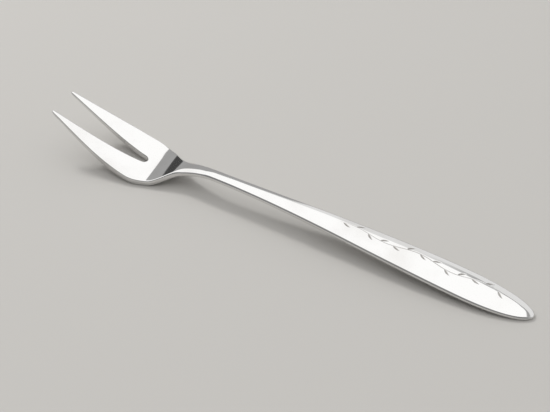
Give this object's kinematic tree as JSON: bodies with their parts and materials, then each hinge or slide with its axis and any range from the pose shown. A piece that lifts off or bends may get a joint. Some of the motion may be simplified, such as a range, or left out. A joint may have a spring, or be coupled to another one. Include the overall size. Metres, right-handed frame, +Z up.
{
  "type": "lemon fork",
  "caption": "Slender one-piece fork with flat upturned pointed tines, a narrow arched neck and a long rounded handle, for serving lemon slices and pickles.",
  "frame": {"origin": "middle of the fork's length and width, on the table plane that it rests on", "axes": "+X from the tine points to the end of the handle, +Y towards the right tine, +Z up from the table"},
  "size_m": [0.146, 0.0174, 0.0134],
  "materials": {
    "polished_steel": "bright-polished stainless steel, solid and not plated"
  },
  "bodies": {
    "root": {"left_tine": "polished_steel", "right_tine": "polished_steel", "palm": "polished_steel", "neck": "polished_steel", "stem": "polished_steel", "handle": "polished_steel"}
  },
  "joints": []
}
